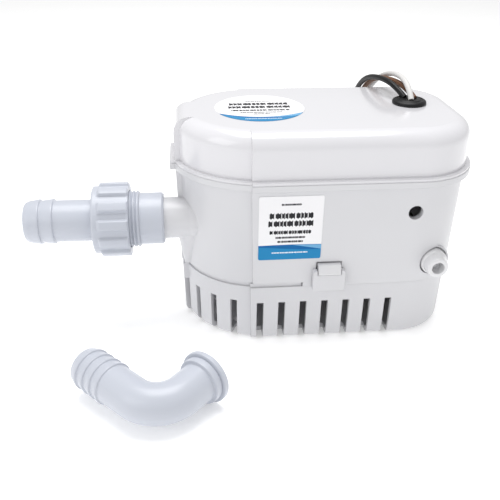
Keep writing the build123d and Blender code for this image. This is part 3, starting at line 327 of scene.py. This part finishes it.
# Label on the front wall: the same film, slightly rounded at its corners, stuck on the drafted wall.
# Its rows are given as for the round label, by their height above the floor.
label_low, label_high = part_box("side_label")
label_middle = (label_low[0] + label_high[0]) / 2
coat_node(
    ["side_label"],
    label_film(
        "film_square",
        [
            (0.0693, 0.0042, 0.0005, 3300.0, 0.3),
            (0.0641, 0.0094, 0.00145, 1900.0, 0.9),
            (0.0604, 0.0096, 0.00145, 1900.0, 2.2),
            (0.0563, 0.009, 0.00095, 2600.0, 0.2),
            (0.0538, 0.0064, 0.00055, 3600.0, 1.2),
            (0.0518, 0.0055, 0.00055, 3600.0, 2.1),
        ],
        "X", "Z", float(label_middle), 0.0503, -1.0, (0.0464, 0.0078, 0.00035, 4200.0),
    ),
)


# Cable grommet: black nitrile, pressed into the cover, with a rounded rim, a dished face and a
# raised collar that grips the three wires.
def rounded_outline(corners, radii, steps=6):
    """A closed outline with its corners rounded.

    Each corner is cut back along both its runs by its radius, at most 0.45 of the shorter run, and the
    cut is bridged by the parabola whose control point is the corner.
    """
    corners = np.asarray(corners, float)
    before, after = np.roll(corners, 1, axis=0) - corners, np.roll(corners, -1, axis=0) - corners
    reach = 0.45 * np.minimum(np.linalg.norm(before, axis=1), np.linalg.norm(after, axis=1))
    cut = np.minimum(np.broadcast_to(radii, len(corners)), reach)[:, None]
    start = corners + before / np.linalg.norm(before, axis=1)[:, None] * cut
    end = corners + after / np.linalg.norm(after, axis=1)[:, None] * cut
    t = np.linspace(0, 1, steps)[None, :, None]
    curve = (1 - t) ** 2 * start[:, None] + 2 * t * (1 - t) * corners[:, None] + t**2 * end[:, None]
    return curve.reshape(-1, 2)


def divided(outline, longest):
    """The same closed outline with points added so that no run is longer than a given length."""
    following = np.roll(outline, -1, axis=0)
    runs = np.linalg.norm(following - outline, axis=1)
    counts = np.maximum(1, np.ceil(runs / longest)).astype(int)
    pieces = [a + (b - a) * np.arange(n)[:, None] / n for a, b, n in zip(outline, following, counts)]
    return np.vstack(pieces)


def turned_piece(name, outline, centre, side, upward, steps, material, swell=None):
    """A closed outline of (distance along, radius) carried right round a centre line.

    A point is centre(distance) + (radius + swell) * (cos of the angle * side + sin of the angle * upward).
    The swell is an extra height for each outline point and angle. The faces are turned to point outwards.
    """
    angle = np.linspace(0, 2 * np.pi, steps, endpoint=False)
    along, radius = outline[:, 0], outline[:, 1]
    extra = 0.0 if swell is None else swell(along[:, None], radius[:, None], angle[None, :])
    reach = radius[:, None] + extra
    reach = np.broadcast_to(reach, (len(outline), steps))[..., None]
    c, s, u = centre(along), side(along), upward(along)
    around = np.cos(angle)[None, :, None] * s[:, None] + np.sin(angle)[None, :, None] * u[:, None]
    spots = c[:, None] + reach * around
    row, column = np.meshgrid(np.arange(len(outline)), np.arange(steps), indexing="ij")
    next_row, next_column = (row + 1) % len(outline), (column + 1) % steps
    here, ahead = row * steps, next_row * steps
    corners = [here + column, ahead + column, ahead + next_column, here + next_column]
    quads = np.stack(corners, axis=-1).reshape(-1, 4)
    spots = spots.reshape(-1, 3)
    a, b, d = spots[quads[:, 0]], spots[quads[:, 1]], spots[quads[:, 2]]
    e = spots[quads[:, 3]]
    volume = np.einsum("ij,ij->i", a, np.cross(b, d)).sum() + np.einsum("ij,ij->i", a, np.cross(d, e)).sum()
    if volume < 0:
        quads = quads[:, ::-1]
    mesh = bpy.data.meshes.new(name)
    mesh.from_pydata(spots.tolist(), [], quads.tolist())
    mesh.polygons.foreach_set("use_smooth", np.ones(len(quads), dtype=bool))
    mesh.materials.append(material)
    piece = bpy.data.objects.new(name, mesh)
    bpy.context.collection.objects.link(piece)
    return piece


def straight(origin, direction):
    """A centre line that runs straight from a point."""
    return lambda along: np.asarray(origin) + along[:, None] * np.asarray(direction)


def steady(direction):
    """The same direction all along a centre line."""
    return lambda along: np.broadcast_to(np.asarray(direction, float), (len(along), 3))


grommet_low, grommet_high = (np.array(c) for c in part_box("cable_grommet"))
grommet_middle = (grommet_low + grommet_high) / 2
cover_top = float(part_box("top_cover")[1][2])
rim, hole = float(grommet_high[0] - grommet_low[0]) / 2, 0.0003
grommet_outline = [
    (grommet_low[2], hole),
    (grommet_low[2], rim - 0.0008),
    (grommet_low[2] + 0.0014, rim - 0.0008),
    (grommet_low[2] + 0.0014, rim - 0.002),
    (cover_top, rim - 0.002),
    (cover_top, rim),
    (cover_top + 0.0013, rim),
    (cover_top + 0.0021, rim - 0.0012),
    (cover_top + 0.0016, 0.0058),
    (cover_top + 0.0017, 0.0052),
    (grommet_high[2], 0.0047), (grommet_high[2], hole),
]
grommet = turned_piece(
    "grommet_rubber", divided(rounded_outline(grommet_outline, 0.0007), 0.0012),
    straight((grommet_middle[0], grommet_middle[1], 0.0), (0, 0, 1)),
    steady((1, 0, 0)), steady((0, 1, 0)), 96,
    moulded("black_nitrile", (0.006, 0.006, 0.007), 0.42, mottle=0.3, grain=0.00005, index=1.38),
)
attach(grommet, "housing")
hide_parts("cable_grommet")

# Body housing and volute: white ABS with the duller face of a finely textured mould.
# The housing carries the motor, the float's chamber and the outlet's stub.
coat_node(
    ["body_housing", "volute_casing"],
    moulded("white_abs_textured", (0.668, 0.668, 0.69), 0.38, 0.015, 0.00003, coat=0.2, soft_edge=0.0005),
)

# Strainer and its latch tongues: the same ABS from another mould; the tongues are polished by thumbs.
# Each tongue stands in a pocket on the strainer's side and is pressed in to free the housing.
coat_node(
    ["strainer_base"],
    moulded("white_abs_strainer", (0.668, 0.668, 0.69), 0.42, 0.02, 0.00003, coat=0.1, soft_edge=0.0006),
)
coat_node(
    ["latch_front", "latch_back"],
    moulded("white_abs_thumbed", (0.745, 0.745, 0.763), 0.25, 0.015, 0.00001, coat=0.3, soft_edge=0.0004),
)

# Test knob, float and shaft: the knob is polished white ABS, pressed on the shaft of the float.
# The float is a closed-cell foam block, with a magnet let in for the reed switch above it.
coat_node(
    ["test_knob", "float_shaft"],
    moulded("white_abs_knob", (0.745, 0.745, 0.758), 0.24, 0.01, 0.00001, coat=0.3, soft_edge=0.0004),
)
coat_node(["float_block"], moulded("float_foam", (0.75, 0.74, 0.7), 0.75, mottle=0.2, grain=0.0002))
coat_node(
    ["float_magnet", "motor_magnets"],
    moulded("ferrite", (0.06, 0.06, 0.065), 0.5, mottle=0.4, grain=0.00006),
)

# Union: collar with its thread, and the flap, pin and washer inside it, all on the outlet's axis.
# The fittings are acetal, pale grey with a little lavender.
acetal = moulded(
    "acetal_lavender", (0.54, 0.566, 0.632), 0.36, mottle=0.04, grain=0.00003, coat=0.15, soft_edge=0.0004,
)
coat_node(["union_collar"], acetal)
coat_node(
    ["check_valve_flap", "union_washer", "shaft_seal"],
    moulded("soft_nitrile", (0.025, 0.025, 0.027), 0.5, mottle=0.3),
)
coat_node(["check_valve_pin", "motor_shaft"], metal("stainless_pin", (0.62, 0.62, 0.63), 0.25))

# Hose tail: a barbed tube with a flange, moulded in the same acetal. Each barb rises to a narrow crest
# on the side of the pump, so that the hose goes on easily and grips when it is pulled.
collar_low, collar_high = (np.array(c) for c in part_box("union_collar"))
axis_y, axis_z = (float(collar_low[i] + collar_high[i]) / 2 for i in (1, 2))
outlet_axis = straight((0.0, axis_y, axis_z), (1, 0, 0))
tail_low, tail_high = (np.array(c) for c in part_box("hose_tail"))
tail_r, tail_bore, crest_r = 0.0093, 0.007, 0.01
flange_r = float(tail_high[2] - tail_low[2]) / 2
FLANGE_THICK = 0.0022
FIRST_BARB, SECOND_BARB = -0.092, -0.0979
tail_outline = [
    (tail_high[0], tail_bore),
    (tail_high[0], flange_r),
    (tail_high[0] - FLANGE_THICK, flange_r),
    (tail_high[0] - FLANGE_THICK, tail_r),
    (FIRST_BARB, tail_r),
    (FIRST_BARB - 0.0001, crest_r),
    (FIRST_BARB - 0.0009, crest_r),
    (FIRST_BARB - 0.0052, tail_r + 0.00015),
    (SECOND_BARB, tail_r + 0.0001),
    (SECOND_BARB - 0.0001, crest_r),
    (SECOND_BARB - 0.0009, crest_r),
    (SECOND_BARB - 0.0051, tail_r),
    (tail_low[0] + 0.0005, tail_r - 0.0006),
    (tail_low[0], tail_r - 0.0013),
    (tail_low[0], tail_bore),
]
tail_rounding = [0.0003] * 11 + [0.0015, 0.0008, 0.0005, 0.0005]
hose_tail = turned_piece(
    "barbed_tail", divided(rounded_outline(tail_outline, tail_rounding), 0.002),
    outlet_axis, steady((0, 1, 0)), steady((0, 0, 1)), 144, acetal,
)
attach(hose_tail, "housing")
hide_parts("hose_tail")

# Union nut: acetal, with twelve soft-edged grip ribs and a plain rim at the hose's side.
# It turns on the collar's thread and draws the hose tail on to its washer.
nut_low, nut_high = (np.array(c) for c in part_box("union_nut"))
NUT_R, NUT_BORE, NUT_LIP = 0.0151, 0.013, 0.0011
RIB_COUNT, RIB_RISE, RIB_LENGTH = 12, 0.00155, 0.0133
RIB_LOWEST = 0.0148
rib_end = nut_high[0] - RIB_LENGTH


def rib_swell(along, radius, angle):
    """Rib height: a flat-topped wave round the nut, faded at both ends of the ribs, on outer points only."""
    wave = np.clip(0.5 + 1.6 * (np.cos(RIB_COUNT * angle + np.pi) + 0.1), 0, 1)
    wave = wave * wave * (3 - 2 * wave)
    left = np.clip((along - rib_end) / 0.0009, 0, 1)
    right = np.clip((nut_high[0] - along) / 0.0008, 0, 1)
    fade = (1 - (1 - left) ** 2) * (1 - (1 - right) ** 2) ** 0.5
    return RIB_RISE * wave * fade * (radius > RIB_LOWEST)


nut_outline = [
    (nut_low[0], tail_r + 0.0004),
    (nut_low[0], NUT_R),
    (nut_high[0], NUT_R),
    (nut_high[0], NUT_BORE),
    (nut_low[0] + NUT_LIP, NUT_BORE + 0.0002),
    (nut_low[0] + NUT_LIP, tail_r + 0.0004),
]
nut_rounding = [0.0004, 0.0009, 0.0004, 0.0003, 0.0003, 0.0003]
union_nut = turned_piece(
    "ribbed_nut", divided(rounded_outline(nut_outline, nut_rounding), 0.0004),
    outlet_axis, steady((0, 1, 0)), steady((0, 0, 1)), 360, acetal, rib_swell,
)
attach(union_nut, "nut")
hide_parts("union_nut")

# Spare elbow tail: acetal, lying loose on the floor in front of the pump, with four barbs on its long
# leg and a flange with a shoulder on the short one.
ELBOW_R, ELBOW_BORE, BEND_R = 0.0083, 0.0062, 0.0127
LONG_LEG, SHORT_LEG = 0.0437, 0.0286
LONG_HEADING, SHORT_HEADING = np.radians([133.5, 47.9])
BARB_R, SHOULDER_R, NECK_R, ELBOW_FLANGE_R = 0.009, 0.0099, 0.0095, 0.01125
BARB_COUNT, BARB_PITCH = 4, 0.0044
corner = np.array([-0.047, -0.0957, ELBOW_FLANGE_R])
long_way, short_way = (np.array([np.cos(a), np.sin(a), 0.0]) for a in (LONG_HEADING, SHORT_HEADING))
half_angle = (LONG_HEADING - SHORT_HEADING) / 2
set_back = BEND_R / np.tan(half_angle)
bend_length = BEND_R * (np.pi - 2 * half_angle)
long_run, short_run = LONG_LEG - set_back, SHORT_LEG - set_back
elbow_length = long_run + bend_length + short_run
between = (long_way + short_way) / np.linalg.norm(long_way + short_way)
bend_middle = corner + between * BEND_R / np.sin(half_angle)


def bend_turned(along):
    """How far round the bend a distance along the elbow is, as an angle from the end of the long leg."""
    return np.clip((along - long_run) / BEND_R, 0, np.pi - 2 * half_angle)


def elbow_side(along):
    """The level direction from the bend's centre to the centre line: the first normal, turned by the bend."""
    first = np.array([-long_way[1], long_way[0], 0.0])
    heading = np.arctan2(first[1], first[0]) + bend_turned(along)
    return np.stack([np.cos(heading), np.sin(heading), np.zeros_like(heading)], axis=1)


def elbow_centre(along):
    """The centre line: a straight leg, an arc about the bend's centre, and the other straight leg."""
    arc = bend_middle + BEND_R * elbow_side(along)
    before = np.minimum(along - long_run, 0)[:, None] * -long_way
    after = np.maximum(along - long_run - bend_length, 0)[:, None] * short_way
    return arc + before + after


elbow_outline = [(0.0, ELBOW_BORE), (0.0, ELBOW_R - 0.0004)]
for barb in range(1, BARB_COUNT + 1):
    crest = barb * BARB_PITCH
    elbow_outline += [(crest - 0.0008, BARB_R), (crest, BARB_R), (crest + 0.0002, ELBOW_R)]
elbow_outline += [
    (elbow_length - 0.0056, ELBOW_R),
    (elbow_length - 0.0055, SHOULDER_R),
    (elbow_length - 0.0026, SHOULDER_R),
    (elbow_length - 0.0025, NECK_R),
    (elbow_length - 0.0022, NECK_R),
    (elbow_length - 0.0021, ELBOW_FLANGE_R),
    (elbow_length, ELBOW_FLANGE_R),
    (elbow_length, ELBOW_BORE),
]
elbow = turned_piece(
    "elbow_moulding", divided(rounded_outline(elbow_outline, 0.00045), 0.0012),
    elbow_centre, elbow_side, steady((0, 0, 1)), 128, acetal,
)
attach(elbow, "spare_elbow")
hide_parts("elbow_tail")

# Motor and rotor: a plated steel can with its end bell, wound core, copper commutator, carbon brushes,
# bronze bearings and a blue nylon impeller held by a steel clip.
coat_node(["motor_can"], metal("zinc_plate", (0.66, 0.67, 0.66), 0.32, soft_edge=0.0003))
coat_node(["motor_end_bell"], moulded("bell_nylon", (0.05, 0.05, 0.055), 0.5, mottle=0.3))
coat_node(["armature_core", "impeller_clip", "volute_screws"], metal("bare_steel", (0.45, 0.45, 0.46), 0.4))
coat_node(["armature_windings", "commutator"], metal("copper", (0.75, 0.36, 0.2), 0.3))
coat_node(["brushes"], moulded("carbon", (0.03, 0.03, 0.03), 0.6, mottle=0.4))
coat_node(["bearing_lower", "bearing_upper"], metal("sintered_bronze", (0.55, 0.38, 0.2), 0.45))
coat_node(["impeller"], moulded("blue_nylon", (0.03, 0.12, 0.4), 0.4, mottle=0.1, soft_edge=0.0003))

# Switch board over the float: green laminate with a black relay and a glass reed switch; the leads
# inside are the ends of the supply wires and the two that go on to the motor.
coat_node(["switch_board"], moulded("green_laminate", (0.03, 0.2, 0.09), 0.4, mottle=0.25))
coat_node(["switch_relay"], moulded("relay_black", (0.02, 0.02, 0.022), 0.35, mottle=0.2))
coat_node(["reed_switch"], moulded("green_glass", (0.35, 0.5, 0.4), 0.1, mottle=0.2, coat=0.5))
coat_node(["motor_leads", "supply_leads"], moulded("lead_pvc", (0.25, 0.03, 0.03), 0.45, mottle=0.2))

# Floor, lamps and sky: a white floor under one soft box overhead and a weaker one on the left.
# The floor glows a little, which keeps it nearly white in the main view and lightens the shadows.
floor_mesh = bpy.data.meshes.new("floor")
FLOOR_HALF, FLOOR_GLOW, SKY_STRENGTH = 4, 0.25, 0.6
floor_corners = [(x * FLOOR_HALF, y * FLOOR_HALF, 0) for x, y in ((-1, -1), (1, -1), (1, 1), (-1, 1))]
floor_mesh.from_pydata(floor_corners, [], [(0, 1, 2, 3)])
floor = bpy.data.objects.new("floor", floor_mesh)
bpy.context.collection.objects.link(floor)
floor_finish = moulded("studio_floor", (0.96, 0.96, 0.96), 0.8, mottle=0.004, grain=0.0)
floor_shader = next(n for n in floor_finish.node_tree.nodes if n.type == "BSDF_PRINCIPLED")
floor_shader.inputs["Emission Color"].default_value = (1.0, 1.0, 1.0, 1.0)
floor_shader.inputs["Emission Strength"].default_value = FLOOR_GLOW
floor_mesh.materials.append(floor_finish)

world = bpy.data.worlds.new("studio")
bpy.context.scene.world = world
world.use_nodes = True
world.node_tree.nodes["Background"].inputs["Color"].default_value = (1.0, 1.0, 1.0, 1.0)
world.node_tree.nodes["Background"].inputs["Strength"].default_value = SKY_STRENGTH


def lamp(name, spot, aim_at, size, power):
    """A square soft box at a spot, turned to face a point."""
    data = bpy.data.lights.new(name, "AREA")
    data.size = size
    data.energy = power
    made = bpy.data.objects.new(name, data)
    bpy.context.collection.objects.link(made)
    away = np.array(spot) - np.array(aim_at)
    away /= np.linalg.norm(away)
    side = np.cross((0.0, 1.0, 0.01), away)
    side /= np.linalg.norm(side)
    pose = np.eye(4)
    pose[:3, 0], pose[:3, 1], pose[:3, 2], pose[:3, 3] = side, np.cross(away, side), away, spot
    made.matrix_world = Matrix(pose.tolist())


lamp("softbox_top", (0.0, 0.1, 0.9), (0.02, 0.0, 0.05), 0.6, 6.0)
lamp("softbox_left", (-0.8, -0.5, 0.5), (0.0, 0.0, 0.05), 0.6, 1.7)
